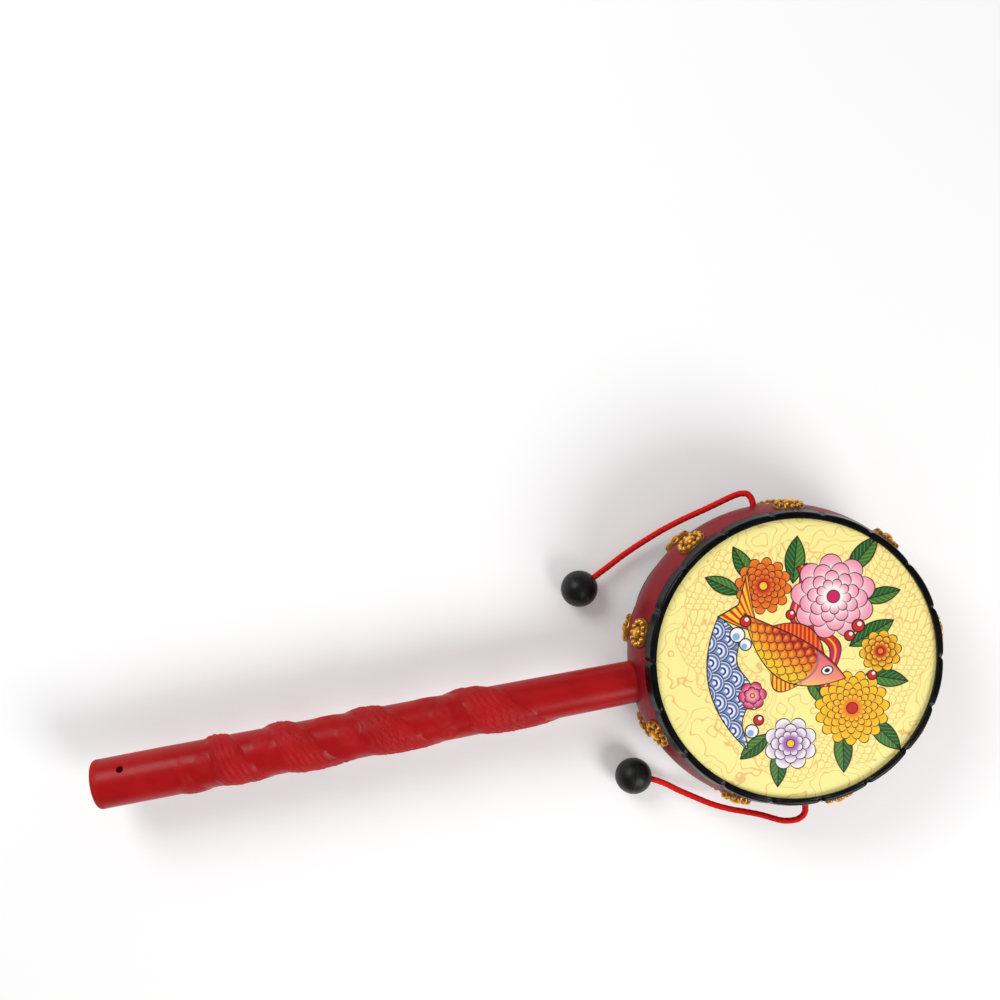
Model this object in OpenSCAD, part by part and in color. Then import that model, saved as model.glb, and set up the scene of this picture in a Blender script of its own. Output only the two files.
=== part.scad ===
// Pellet drum rattle: a flat barrel drum on a moulded handle, with two beads on one cord.
// The drum lies on its rear hoop at z = 0, its front head faces +Z and the handle points along -X.
// The origin is on the floor, under the middle of the length of drum and handle together.
// Left is +Y and right is -Y, as seen from the front with the handle down.

/* [Drum shell] */
// How far the barrel stands out past the hoops at its widest
shell_bulge = 2.3; // [1:0.1:3]
// Wall of the barrel
shell_wall = 2; // [1.8:0.1:2.6]
// Thickness of the rim that carries a head
rim_w = 1.9; // [1.4:0.1:2.4]
// Length of the socket that holds the handle, inside the drum
socket_l = 10; // [6:0.5:16]
// Wall of the handle socket
socket_wall = 1.6; // [1:0.1:2.4]

/* [Hoops] */
// Outer diameter of a hoop
hoop_d = 75; // [64:0.5:90]
// Thickness of the hoop's face
hoop_face_t = 1.2; // [0.8:0.1:1.6]
// Height of the hoop's skirt along the shell
hoop_side_h = 3.6; // [3:0.1:5]
// Thickness of the hoop's skirt
hoop_wall = 1; // [0.8:0.1:1.6]
// How far the skirt's free edge stands out past the face
hoop_flare = 0.7; // [0:0.1:1]
// Radius of the hoop's outer edge
hoop_round = 0.9; // [0.4:0.1:1.2]
// Number of raised lobes round a hoop
lobe_count = 18; // [12:1:24]
// Width of the groove between two lobes
groove_w = 0.8; // [0.5:0.1:1.2]
// Depth of the groove between two lobes
groove_depth = 0.35; // [0.2:0.05:0.5]

/* [Heads] */
// Thickness of a head
head_t = 0.4; // [0.2:0.05:0.6]
// How far a head stays inside the edge of its rim
head_inset = 0.2; // [0.1:0.05:0.4]
// Width of a head's edge that the hoop covers
head_grip = 0.6; // [0.5:0.05:1.2]

/* [Studs] */
// Number of studs in each of the two rows
stud_count = 9; // [5:2:11]
// Diameter of a stud
stud_d = 7.8; // [6:0.1:9]
// Gap between the two rows of studs, where the cord comes out
row_gap = 7.6; // [2:0.1:12]
// Gap between a row of studs and its hoop
stud_gap = 0.1; // [0.1:0.1:1]
// Height of a stud's flat base
stud_base_h = 1.1; // [0.8:0.1:1.4]
// Height of the middle dome over a stud's base
stud_dome_h = 1.2; // [0.8:0.1:1.4]
// Diameter of a stud's middle dome
stud_dome_d = 3.8; // [3:0.1:4.2]
// Number of beads round a stud
stud_bead_count = 12; // [8:1:13]
// Diameter of the beads round a stud
stud_bead_d = 1.4; // [1:0.1:1.5]
// Diameter of a stud's peg
peg_d = 1.9; // [1.4:0.1:2.4]

/* [Handle] */
// Length of the handle outside the drum
handle_l = 145; // [100:1:180]
// Diameter of the handle at the drum
neck_d = 11.3; // [10:0.1:12.5]
// Width of the shoulder between the neck and the spigot in the drum
shoulder_w = 1.05; // [0.6:0.05:1.4]
// Diameter of the handle's plain end
handle_end_d = 13.3; // [12:0.1:15]
// Length of the handle's plain end
handle_end_l = 19; // [14:0.5:24]
// Wall of the hollow handle
handle_wall = 1.3; // [1.1:0.1:1.8]
// Thickness of the handle's closed end
end_wall = 1.6; // [1.2:0.1:3]
// Radius of the edge of the closed end
end_round = 1.2; // [0.6:0.1:2]
// Diameter of the hole across the plain end
loop_hole_d = 2; // [1.5:0.1:3]
// Distance from the end of the handle to the hole
loop_hole_in = 8.5; // [6:0.5:10]
// Angle of the hole about the handle, from the front towards the left
loop_hole_turn = 35; // [0:1:90]

/* [Coil on the handle] */
// Plain stretch of handle between the shell and the coil
coil_start = 21.7; // [14:0.1:30]
// Plain stretch of the taper after the coil
coil_end_gap = 4; // [1:0.5:20]
// Number of turns of the coil
coil_turns = 4.6; // [3:0.1:4.8]
// Angle of the coil's start about the handle
coil_turn = -170; // [-180:1:180]
// How much closer the turns lie towards the thin end, 0 for even turns
coil_bunch = 0.55; // [0:0.01:0.6]
// How far a turn swings along the handle, so that it crosses the front steeply
coil_sway = 2; // [0:0.1:5]
// Share of its width that the coil gains on the right side and loses on the left
coil_lean = 0.3; // [0:0.05:0.35]
// Width of the coil along the handle, where it is widest
coil_w = 17.5; // [8:0.5:18]
// Height of the coil over the handle
coil_h = 1; // [0.6:0.1:1.4]

/* [Cord and beads] */
// Diameter of the cord
cord_d = 1.7; // [1.3:0.1:2]
// Diameter of a bead
bead_d = 10; // [8:0.1:12]

/* [Hidden] */
$fn = 96;

// Clearances
fit_gap = 0.05;        // between parts pressed together
seat_gap = 0.15;       // round a part that drops into a seat
hoop_gap = 0.2;        // between a hoop's skirt and the barrel's shoulder
hole_gap = 0.2;        // round the cord in its hole in the shell
bore_gap = 0.1;        // round the cord in a bead
cut_over = 1;          // how far a cut runs past the wall it goes through

// Drum: the barrel is as high as its two rows of studs need
barrel_h = row_gap + 2 * (stud_d + stud_gap);
drum_t = barrel_h + 2 * (hoop_side_h + hoop_gap);
mid_z = drum_t / 2;
hoop_r = hoop_d / 2;
shell_r = hoop_r + shell_bulge;
rim_r = hoop_r - hoop_wall - fit_gap;
rim_in_r = rim_r - rim_w;
rim_h = drum_t - 2 * (hoop_face_t + head_t);
head_r = rim_r - head_inset;
hoop_in_r = head_r - head_grip;
hoop_edge_r = min(hoop_round, hoop_wall, hoop_face_t);
flare_angle = atan(hoop_flare / (hoop_side_h - hoop_edge_r));
// The barrel's arc ends at the hoop's radius where the hoops begin
arc_r = (pow(barrel_h / 2, 2) + pow(shell_bulge, 2)) / (2 * shell_bulge);
arc_x = shell_r - arc_r;
tightest_r = min(arc_r, shell_r);
lobe_step = 360 / lobe_count;

// Studs stand square on the barrel's arc, the first pair half a step from the handle
stud_r = stud_d / 2;
stud_step = 360 / stud_count;
stud_tilt = asin((row_gap / 2 + stud_r) / arc_r);
stud_sink = pow(stud_r + seat_gap, 2) / (2 * tightest_r) + fit_gap;
stud_edge_r = 0.4;     // round edge of a stud's base
stud_bead_in = 0.15;   // how far the beads stay inside the rim, and sink into the base
stud_bead_ring_r = stud_r - stud_bead_d / 2 - stud_bead_in;
peg_l = shell_wall - stud_sink;
// The middle dome is a ball that meets the base in a circle
stud_dome_r = (pow(stud_dome_d / 2, 2) + pow(stud_dome_h, 2)) / (2 * stud_dome_h);

// Handle, measured along its axis from the middle of the drum
neck_r = neck_d / 2;
spigot_r = neck_r - shoulder_w;
spigot_past = 2;       // how far the spigot runs past its socket
spigot_bore_r = spigot_r - handle_wall;
socket_r = spigot_r + fit_gap + socket_wall;
seat_depth = 0.2;      // least depth of the handle's flat seat in the barrel
neck_seat = shell_r - pow(neck_r + seat_gap, 2) / (2 * tightest_r) - seat_depth;
spigot_start = neck_seat - socket_l - spigot_past;
handle_end_r = handle_end_d / 2;
handle_end = shell_r + handle_l;
plain_start = handle_end - handle_end_l;

// Raised coil, from the blunt end by the drum to the thin end
coil_from = shell_r + coil_start;
coil_l = plain_start - coil_end_gap - coil_from;
coil_widest = min(coil_w, coil_l / 5);
coil_steps = 92;
coil_root = 0.45;      // how deep the coil's edges sit in the handle
coil_belly = 0.6;      // how deep the middle of its underside sits
coil_blunt = 0.05;     // share of its turns over which the blunt end swells
coil_thin = 0.2;       // share of its turns over which it thins out
coil_tip = 0.25;       // share of its size that is left at both ends
coil_narrow = 0.5;     // share of its width that is lost on the way to the thin end
coil_calm = 0.9;       // share of its sway that is lost on the way
// The coil's cross-section: share of its half width and share of its height
coil_section = [[-1, 0], [-0.84, 0.6], [-0.46, 0.92], [0, 1], [0.46, 0.92], [0.84, 0.6], [1, 0]];

// The origin is half way between the far stud's dome and the end of the handle
dome_ball_at = arc_r - stud_sink + stud_base_h + stud_dome_h - stud_dome_r;
far_dome = arc_x + dome_ball_at * cos(stud_tilt) + stud_dome_r;
drum_x = (handle_end - far_dome) / 2;

// Cord, with its points given from the mouth of its hole and z from the middle of the drum
cord_r = cord_d / 2;
cord_sides = 8;
cord_hole_r = cord_r + hole_gap;
cord_stub = 1.1;       // length of the held cord outside the shell
stop_knot_r = cord_r + 0.9;
stop_knot_at = shell_r - shell_wall - stop_knot_r - fit_gap;
bead_r = bead_d / 2;
bead_bore_r = cord_r + bore_gap;
end_knot_r = cord_r + 0.35;
// The end knot sits in a pocket in the middle of the bead, which is moulded round it
knot_pocket_r = end_knot_r + seat_gap;
cap_angles = [25, 55];
knot_angles = [50, 80, 110, 140, 165];
left_root_route = [[-0.3, 2.5, -0.25], [-1, 3.4, -0.5], [-2.2, 3.7, -0.95], [-3.6, 3.6, -1.5],
    [-6, 3, -2.3], [-9.4, 1.95, -3.5]];
left_route = [[-11.4, 1.35, -4.4], [-14.4, 0.5, -5.8], [-18.4, -0.7, -7.6], [-23.5, -2.5, -9.5],
    [-28.6, -4.6, -10.7], [-33.8, -6.9, -11.3], [-38, -9, -11.3]];
left_bead_at = [-47.6, -13.7];
left_bead_turn = 207;
right_root_route = [[0.1, -2.6, -0.2], [-0.5, -4.4, -0.5], [-2.2, -5.5, -0.9], [-4.4, -5.7, -1.5],
    [-6.6, -5.3, -2.2], [-9.6, -4, -3.5]];
right_route = [[-11.6, -3.2, -4.4], [-14.6, -2.3, -5.9], [-18.6, -1.1, -7.7], [-22.7, 0.7, -9.3],
    [-26.8, 3.2, -10.6], [-31, 6, -11.3], [-33.3, 7.8, -11.3]];
right_bead_at = [-42.2, 12.2];
right_bead_turn = 158;
bead_lead_in = 6.2;    // straight cord before the middle of a bead

STUDS = [for (i = [1 : stud_count]) i];

// Directions and rings of swept tubes
function unit(v) = v / norm(v);
function last(list) = list[len(list) - 1];
function heading(turn) = [cos(turn), sin(turn), 0];
function tangent(stations, i) =
    unit(stations[min(i + 1, len(stations) - 1)][0] - stations[max(i - 1, 0)][0]);
function tube_ring(stations, i) =
    let (along = tangent(stations, i), side = unit(cross(along, [0, 0, 1])), up = cross(side, along))
    [for (k = [0 : cord_sides - 1])
        let (a = 360 * k / cord_sides)
        stations[i][0] + stations[i][1] * (cos(a) * side + sin(a) * up)];

// Triangles over a stack of rings of n points each, with a fan over each end
function skin_faces(rings, n) = concat(
    [for (i = [0 : rings - 2], k = [0 : n - 1])
        let (a = i * n + k, b = i * n + (k + 1) % n)
        each [[a, b, a + n], [b, b + n, a + n]]],
    [for (k = [1 : n - 2]) [0, k + 1, k]],
    [for (k = [1 : n - 2]) let (e = (rings - 1) * n) [e, e + k, e + k + 1]]);

// Stations, each a point and a radius, that round off the ends of a cord
function rounded_start(p, along) = [for (a = cap_angles) [p - cord_r * cos(a) * along, cord_r * sin(a)]];
function rounded_end(p, along) =
    [for (i = [len(cap_angles) - 1 : -1 : 0])
        [p + cord_r * cos(cap_angles[i]) * along, cord_r * sin(cap_angles[i])]];
function cord_stations(route) = [for (p = route) [p, cord_r]];

// A short link of cord with two round ends
function link_stations(route) = concat(
    rounded_start(route[0], unit(route[1] - route[0])),
    cord_stations(route),
    rounded_end(last(route), unit(last(route) - route[len(route) - 2])));

// A length of cord that runs into a bead and ends in a knot there
function bead_centre(at) = [at[0], at[1], bead_r - mid_z];
function knotted_stations(route, at, turn) =
    let (c = bead_centre(at), u = heading(turn))
    concat(
        rounded_start(route[0], unit(route[1] - route[0])),
        cord_stations(route),
        cord_stations([c - bead_lead_in * u, c - 2 * end_knot_r * u]),
        [for (a = knot_angles) [c - end_knot_r * cos(a) * u, end_knot_r * sin(a)]]);

module cord_tube(stations) {
    rings = [for (i = [0 : len(stations) - 1]) each tube_ring(stations, i)];
    color("firebrick") polyhedron(rings, skin_faces(len(stations), cord_sides));
}

// Moves the drum's axis to its place
module in_frame() {
    translate([drum_x, 0, 0]) children();
}

// Places for what sits on the left or the right of the drum, and on the handle's axis
module at_left() {
    translate([0, shell_r, mid_z]) children();
}

module at_right() {
    translate([0, -shell_r, mid_z]) children();
}

module on_handle_axis() {
    translate([0, 0, mid_z]) rotate([0, -90, 0]) children();
}

// Row is 1 for the front studs and -1 for the rear ones
module at_stud(i, row) {
    rotate([0, 0, 180 + (i - 0.5) * stud_step])
        translate([arc_x, 0, mid_z])
        rotate([0, -row * stud_tilt, 0])
        translate([arc_r - stud_sink, 0, 0])
        rotate([0, 90, 0])
        children();
}

// Shell
module shell_outline() {
    difference() {
        union() {
            intersection() {
                translate([arc_x, 0]) circle(r = arc_r, $fn = 360);
                translate([rim_in_r, -barrel_h / 2]) square([shell_r, barrel_h]);
            }
            translate([rim_in_r, -rim_h / 2]) square([rim_w, rim_h]);
        }
        intersection() {
            translate([arc_x, 0]) circle(r = arc_r - shell_wall, $fn = 360);
            translate([0, -barrel_h / 2 + shell_wall]) square([shell_r, barrel_h - 2 * shell_wall]);
        }
    }
}

module stud_seat() {
    cylinder(r = stud_r + seat_gap, h = stud_sink + cut_over);
    translate([0, 0, -shell_wall - cut_over])
        cylinder(d = peg_d + 2 * fit_gap, h = shell_wall + 2 * cut_over);
}

module drum_shell() {
    color("darkred") difference() {
        union() {
            translate([0, 0, mid_z]) rotate_extrude($fn = 180) shell_outline();
            on_handle_axis() translate([0, 0, neck_seat - socket_l])
                cylinder(r = socket_r, h = socket_l - shell_wall / 2);
        }
        on_handle_axis() {
            translate([0, 0, neck_seat]) cylinder(r = neck_r + seat_gap, h = 2 * cut_over);
            translate([0, 0, neck_seat - socket_l - cut_over])
                cylinder(r = spigot_r + fit_gap, h = socket_l + 2 * cut_over);
        }
        translate([0, 0, mid_z]) rotate([90, 0, 0])
            cylinder(r = cord_hole_r, h = 2 * (shell_r + cut_over), center = true);
        for (i = STUDS, row = [-1, 1]) at_stud(i, row) stud_seat();
    }
}

// Hoops, drawn with the face at the top of the section
module hoop_outline() {
    translate([hoop_in_r, -hoop_face_t]) square([hoop_r - hoop_edge_r - hoop_in_r, hoop_face_t]);
    polygon([[hoop_r - hoop_wall, -hoop_side_h], [hoop_r + hoop_flare, -hoop_side_h],
        [hoop_r, -hoop_edge_r], [hoop_r - hoop_wall, -hoop_edge_r]]);
    translate([hoop_r - hoop_edge_r, -hoop_edge_r]) intersection() {
        circle(r = hoop_edge_r, $fn = 64);
        square(hoop_edge_r);
    }
}

module hoop() {
    difference() {
        rotate_extrude($fn = 180) hoop_outline();
        for (i = [0 : lobe_count - 1]) rotate([0, 0, (i + 0.5) * lobe_step]) {
            translate([hoop_in_r - cut_over, -groove_w / 2, -groove_depth])
                cube([hoop_r - hoop_in_r + 2 * cut_over, groove_w, groove_depth + cut_over]);
            translate([hoop_r - groove_depth, 0, -hoop_edge_r]) rotate([0, -flare_angle, 0])
                translate([0, -groove_w / 2, -hoop_side_h - cut_over])
                cube([groove_depth + cut_over, groove_w, hoop_side_h + hoop_edge_r + cut_over]);
        }
    }
}

module front_hoop() {
    color([0.06, 0.06, 0.07]) translate([0, 0, drum_t]) hoop();
}

module rear_hoop() {
    color([0.06, 0.06, 0.07]) mirror([0, 0, 1]) hoop();
}

// Heads
module front_head() {
    color([0.98, 0.93, 0.6]) translate([0, 0, drum_t - hoop_face_t - head_t])
        cylinder(r = head_r, h = head_t, $fn = 180);
}

module rear_head() {
    color([0.98, 0.93, 0.6]) translate([0, 0, hoop_face_t]) cylinder(r = head_r, h = head_t, $fn = 180);
}

// Studs, drawn on their flat base with the peg below
module stud_base_outline() {
    square([stud_r - stud_edge_r, stud_base_h]);
    square([stud_r, stud_base_h - stud_edge_r]);
    translate([stud_r - stud_edge_r, stud_base_h - stud_edge_r]) circle(r = stud_edge_r, $fn = 32);
}

module stud() {
    color("goldenrod") union() {
        rotate_extrude() stud_base_outline();
        for (i = [0 : stud_bead_count - 1]) rotate([0, 0, i * 360 / stud_bead_count])
            translate([stud_bead_ring_r, 0, stud_base_h - stud_bead_in]) sphere(d = stud_bead_d, $fn = 24);
        intersection() {
            translate([0, 0, stud_base_h + stud_dome_h - stud_dome_r]) sphere(r = stud_dome_r, $fn = 64);
            cylinder(r = stud_r, h = stud_base_h + stud_dome_h + cut_over);
        }
        translate([0, 0, -peg_l]) cylinder(d = peg_d, h = peg_l + stud_base_h / 2, $fn = 32);
    }
}

// Handle, drawn along +Z from the middle of the drum
module handle_outline() {
    difference() {
        union() {
            polygon([[0, spigot_start], [spigot_r, spigot_start], [spigot_r, neck_seat],
                [neck_r, neck_seat], [handle_end_r, plain_start],
                [handle_end_r, handle_end - end_round], [0, handle_end - end_round]]);
            translate([0, plain_start])
                square([handle_end_r - end_round, handle_end - plain_start]);
            translate([handle_end_r - end_round, handle_end - end_round])
                circle(r = end_round, $fn = 64);
        }
        polygon([[-1, spigot_start - cut_over], [spigot_bore_r, spigot_start - cut_over],
            [spigot_bore_r, neck_seat], [neck_r - handle_wall, neck_seat + handle_wall],
            [handle_end_r - handle_wall, plain_start],
            [handle_end_r - handle_wall, handle_end - end_wall], [-1, handle_end - end_wall]]);
    }
}

// Radius of the plain handle at a distance along its axis
function handle_r(t) =
    neck_r + (handle_end_r - neck_r) * (t - neck_seat) / (plain_start - neck_seat);

// The coil follows the handle's own surface: every point has an angle, a distance along it and a height
function coil_point(a, t, height) =
    let (r = handle_r(t) + height)
    [r * cos(a), r * sin(a), t];
function coil_share(s) =
    coil_tip + (1 - coil_tip) * sin(90 * min(1, s / coil_blunt, (1 - s) / coil_thin));
function coil_angle(s) = coil_turn + 360 * coil_turns * s;
function coil_at(s) =
    coil_from + coil_l * s * (1 + coil_bunch * (1 - s))
    - coil_sway * (1 - coil_calm * s) * sin(coil_angle(s));
function coil_ring(s) =
    let (a = coil_angle(s), t = coil_at(s), share = coil_share(s),
        half_w = share * coil_widest * (1 - coil_narrow * s) * (1 - coil_lean * sin(a)) / 2)
    concat(
        [for (p = coil_section)
            coil_point(a, t + p[0] * half_w, p[1] * share * (coil_h + coil_root) - coil_root)],
        [coil_point(a, t, -coil_belly)]);

module coil() {
    rings = [for (i = [0 : coil_steps]) each coil_ring(i / coil_steps)];
    polyhedron(rings, skin_faces(coil_steps + 1, len(coil_section) + 1));
}

module handle() {
    color([0.72, 0.1, 0.12]) on_handle_axis() difference() {
        union() {
            rotate_extrude() handle_outline();
            coil();
        }
        translate([0, 0, handle_end - loop_hole_in]) rotate([0, 90, loop_hole_turn])
            cylinder(d = loop_hole_d, h = 2 * (handle_end_r + cut_over), center = true);
    }
}

// Cord held in the drum, with a stop knot inside each wall
module inner_cord_outline() {
    translate([0, -shell_r - cord_stub]) square([cord_r, 2 * (shell_r + cord_stub)]);
    for (side = [-1, 1]) intersection() {
        translate([0, side * stop_knot_at]) circle(r = stop_knot_r, $fn = 48);
        translate([0, -shell_r]) square([stop_knot_r, 2 * shell_r]);
    }
}

module inner_cord() {
    color("firebrick") translate([0, 0, mid_z]) rotate([90, 0, 0]) rotate_extrude() inner_cord_outline();
}

// Free cord and beads
module bead(at, turn) {
    color([0.1, 0.1, 0.1]) translate(bead_centre(at)) rotate([0, 90, turn]) difference() {
        sphere(r = bead_r);
        sphere(r = knot_pocket_r, $fn = 48);
        translate([0, 0, -bead_r - cut_over]) cylinder(r = bead_bore_r, h = bead_r + cut_over);
    }
}

module left_cord_root() {
    at_left() cord_tube(link_stations(left_root_route));
}

module left_cord() {
    at_left() cord_tube(knotted_stations(left_route, left_bead_at, left_bead_turn));
}

module left_bead() {
    at_left() bead(left_bead_at, left_bead_turn);
}

module right_cord_root() {
    at_right() cord_tube(link_stations(right_root_route));
}

module right_cord() {
    at_right() cord_tube(knotted_stations(right_route, right_bead_at, right_bead_turn));
}

module right_bead() {
    at_right() bead(right_bead_at, right_bead_turn);
}

in_frame() drum_shell();
in_frame() front_hoop();
in_frame() rear_hoop();
in_frame() front_head();
in_frame() rear_head();
in_frame() handle();
for (i = STUDS) {
    in_frame() at_stud(i, 1) stud();
    in_frame() at_stud(i, -1) stud();
}
in_frame() inner_cord();
in_frame() left_cord_root();
in_frame() left_cord();
in_frame() left_bead();
in_frame() right_cord_root();
in_frame() right_cord();
in_frame() right_bead();
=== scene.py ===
"""Looks of the pellet drum rattle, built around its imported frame."""

import math

import bmesh
import bpy
import numpy as np
from bpy.props import FloatProperty, FloatVectorProperty, IntProperty, PointerProperty
from mathutils import Matrix, Vector


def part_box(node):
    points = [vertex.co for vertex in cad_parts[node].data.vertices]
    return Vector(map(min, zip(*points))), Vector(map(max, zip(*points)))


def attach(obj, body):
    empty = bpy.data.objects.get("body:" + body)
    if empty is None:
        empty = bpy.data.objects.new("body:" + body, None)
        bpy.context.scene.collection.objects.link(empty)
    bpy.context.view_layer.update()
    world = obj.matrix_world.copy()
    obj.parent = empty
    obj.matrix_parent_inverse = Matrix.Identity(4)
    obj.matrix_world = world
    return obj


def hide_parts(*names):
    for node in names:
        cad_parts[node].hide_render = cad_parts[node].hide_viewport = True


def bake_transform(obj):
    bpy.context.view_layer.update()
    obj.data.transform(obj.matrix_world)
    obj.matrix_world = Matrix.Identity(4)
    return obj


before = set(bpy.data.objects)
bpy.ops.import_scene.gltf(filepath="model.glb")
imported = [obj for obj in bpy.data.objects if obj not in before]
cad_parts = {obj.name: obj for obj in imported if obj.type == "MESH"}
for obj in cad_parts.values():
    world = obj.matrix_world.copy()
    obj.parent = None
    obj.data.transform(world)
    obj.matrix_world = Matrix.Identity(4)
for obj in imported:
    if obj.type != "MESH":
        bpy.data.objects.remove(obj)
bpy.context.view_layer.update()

bl_info = {
    "name": "Pellet drum rattle",
    "version": (1, 0, 0),
    "blender": (4, 5, 0),
    "location": "View3D > Sidebar > Rattle",
    "description": "Dresses the frame of a pellet drum rattle with its detailed pieces",
    "category": "Object",
}

# Millimetres about the drum's axis are turned into the frame's metres by PLACE
MM = 0.001
hoop_low, hoop_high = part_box("front_hoop")
DRUM_X = (hoop_low.x + hoop_high.x) / 2
PLACE = Matrix.Translation((DRUM_X, 0, 0)) @ Matrix.Scale(MM, 4)
SIDES = {"left": 1, "right": -1}
ROWS = {"front": 1, "rear": -1}

# Route of each free cord, in millimetres from the mouth of its hole
ROUTES = {
    "left": [
        (-0.3, 2.5, -0.25), (-1, 3.4, -0.5), (-2.2, 3.7, -0.95), (-3.6, 3.6, -1.5), (-6, 3, -2.3),
        (-9.4, 1.95, -3.5), (-11.4, 1.35, -4.4), (-14.4, 0.5, -5.8), (-18.4, -0.7, -7.6),
        (-23.5, -2.5, -9.5), (-28.6, -4.6, -10.7), (-33.8, -6.9, -11.3), (-38, -9, -11.3)],
    "right": [
        (0.1, -2.6, -0.2), (-0.5, -4.4, -0.5), (-2.2, -5.5, -0.9), (-4.4, -5.7, -1.5), (-6.6, -5.3, -2.2),
        (-9.6, -4, -3.5), (-11.6, -3.2, -4.4), (-14.6, -2.3, -5.9), (-18.6, -1.1, -7.7),
        (-22.7, 0.7, -9.3), (-26.8, 3.2, -10.6), (-31, 6, -11.3), (-33.3, 7.8, -11.3)],
}
BEADS_AT = {"left": (-47.6, -13.7), "right": (-42.2, 12.2)}
BEAD_TURNS = {"left": 207, "right": 158}
BEAD_LEAD_IN = 6.2
LINK_POINT = 6  # the point of a route at its second hinge


def length(name, description, millimetres):
    """A length that a user may change, given in millimetres."""
    return FloatProperty(
        name=name, description=description, default=millimetres * MM, unit="LENGTH", precision=5)


def share(name, description, default):
    """A share or a strength that a user may change."""
    return FloatProperty(name=name, description=description, default=default, subtype="FACTOR", min=0)


def angle(name, description, degrees):
    """An angle that a user may change, given in degrees."""
    return FloatProperty(name=name, description=description, default=math.radians(degrees), subtype="ANGLE")


def count(name, description, default):
    """A number of like things that a user may change."""
    return IntProperty(name=name, description=description, default=default)


def power(name, description, watts):
    """A lamp's power that a user may change."""
    return FloatProperty(name=name, description=description, default=watts, unit="POWER")


def colour(name, description, rgb):
    """A colour that a user may change."""
    return FloatVectorProperty(
        name=name, description=description, default=(*rgb, 1), size=4, subtype="COLOR", min=0, max=1)


class DrumSizes(bpy.types.PropertyGroup):
    """Sizes of the drum, its hoops and its studs."""

    depth: length("Depth", "Thickness of the drum over both hoops", 31)
    shell_radius: length("Shell radius", "Radius of the barrel at its widest", 39.8)
    shell_arc: length("Shell arc", "Radius of the barrel's bulging outline", 30.9087)
    hoop_radius: length("Hoop radius", "Outer radius of a hoop", 37.5)
    hoop_inner: length("Hoop opening", "Radius of a hoop's opening", 35.65)
    hoop_face: length("Hoop face", "Thickness of a hoop's face", 1.2)
    hoop_skirt: length("Hoop skirt", "Height of a hoop's skirt", 3.6)
    hoop_wall: length("Hoop wall", "Thickness of a hoop's skirt", 1)
    hoop_flare: length("Hoop flare", "How far a skirt's free edge stands out past the face", 0.7)
    hoop_edge: length("Hoop edge", "Radius of a hoop's outer edge", 0.9)
    lobes: count("Lobes", "Lobes round a hoop", 18)
    lobe_crown: length("Lobe crown", "How far a lobe swells between its grooves", 0.22)
    groove_depth: length("Groove depth", "Depth of the groove between two lobes", 0.38)
    groove_width: length("Groove width", "Width of the groove between two lobes", 0.75)
    studs: count("Studs", "Studs in each row", 9)
    stud_radius: length("Stud radius", "Radius of a stud", 3.9)
    stud_row: length("Stud row", "Distance of a row of studs from the drum's middle plane", 7.7)
    stud_sink: length("Stud sink", "How deep a stud sits in the shell", 0.3153)
    stud_plate: length("Stud plate", "Height of a stud's plate", 0.95)
    stud_top: length("Stud top", "Height of a stud's middle dome", 2.3)
    dome_radius: length("Dome radius", "Radius of a stud's middle dome, seen from above", 1.75)
    petals: count("Petals", "Petals round a stud", 12)


class HandleSizes(bpy.types.PropertyGroup):
    """Sizes of the handle and its relief, measured along the handle from the drum's axis."""

    spigot_radius: length("Spigot radius", "Radius of the spigot inside the drum", 4.6)
    spigot_start: length("Spigot start", "Where the spigot begins", 27.056)
    neck_radius: length("Neck radius", "Radius of the handle at the drum", 5.65)
    neck_start: length("Neck start", "Where the neck meets the shell", 39.056)
    end_radius: length("End radius", "Radius of the plain end", 6.65)
    plain_start: length("Plain start", "Where the plain end begins", 165.8)
    end: length("End", "Where the handle ends", 184.8)
    end_edge: length("End edge", "Radius of the edge of the closed end", 1.2)
    hole_radius: length("Hole radius", "Radius of the hole across the plain end", 1)
    hole_at: length("Hole place", "Where the hole lies", 176.3)
    hole_turn: angle("Hole turn", "Angle of the hole about the handle", 35)
    coil_from: length("Coil start", "Where the coil begins", 61.5)
    coil_to: length("Coil end", "Where the coil ends", 161.8)
    coil_turns: FloatProperty(name="Coil turns", description="Turns of the coil", default=4.6)
    coil_turn: angle("Coil angle", "Angle at which the coil begins", -170)
    coil_bunch: share("Coil bunching", "How much closer the turns lie towards the thin end", 0.55)
    coil_sway: length("Coil sway", "How far a turn swings along the handle", 2)
    coil_width: length("Coil width", "Width of the coil along the handle", 17.5)
    coil_lean: share("Coil lean", "Share of its width that the coil gains on the right side", 0.3)
    coil_height: length("Coil height", "Height of the coil over the handle", 0.78)
    scale_length: length("Scale length", "Length of a scale on the coil", 2.1)
    scale_width: length("Scale width", "Width of a scale on the coil", 2.3)
    scale_depth: length("Scale depth", "Depth of the scales", 0.27)


class CordSizes(bpy.types.PropertyGroup):
    """Sizes of the cord and the beads."""

    diameter: length("Cord diameter", "Diameter of the cord", 1.7)
    lay: length("Lay", "Length of one twist of the cord", 5)
    plies: count("Plies", "Yarns twisted into the cord", 3)
    end_knot: length("End knot", "Radius of the knot inside a bead", 1.2)
    stop_knot: length("Stop knot", "Radius of the knots inside the drum", 1.75)
    stop_knot_at: length("Stop knot place", "Distance of these knots from the drum's axis", 36)
    bead_radius: length("Bead radius", "Radius of a bead", 5)
    bore_radius: length("Bore radius", "Radius of a bead's bore", 0.95)
    seam_height: length("Seam height", "Height of the mould seam round a bead", 0.06)


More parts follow.
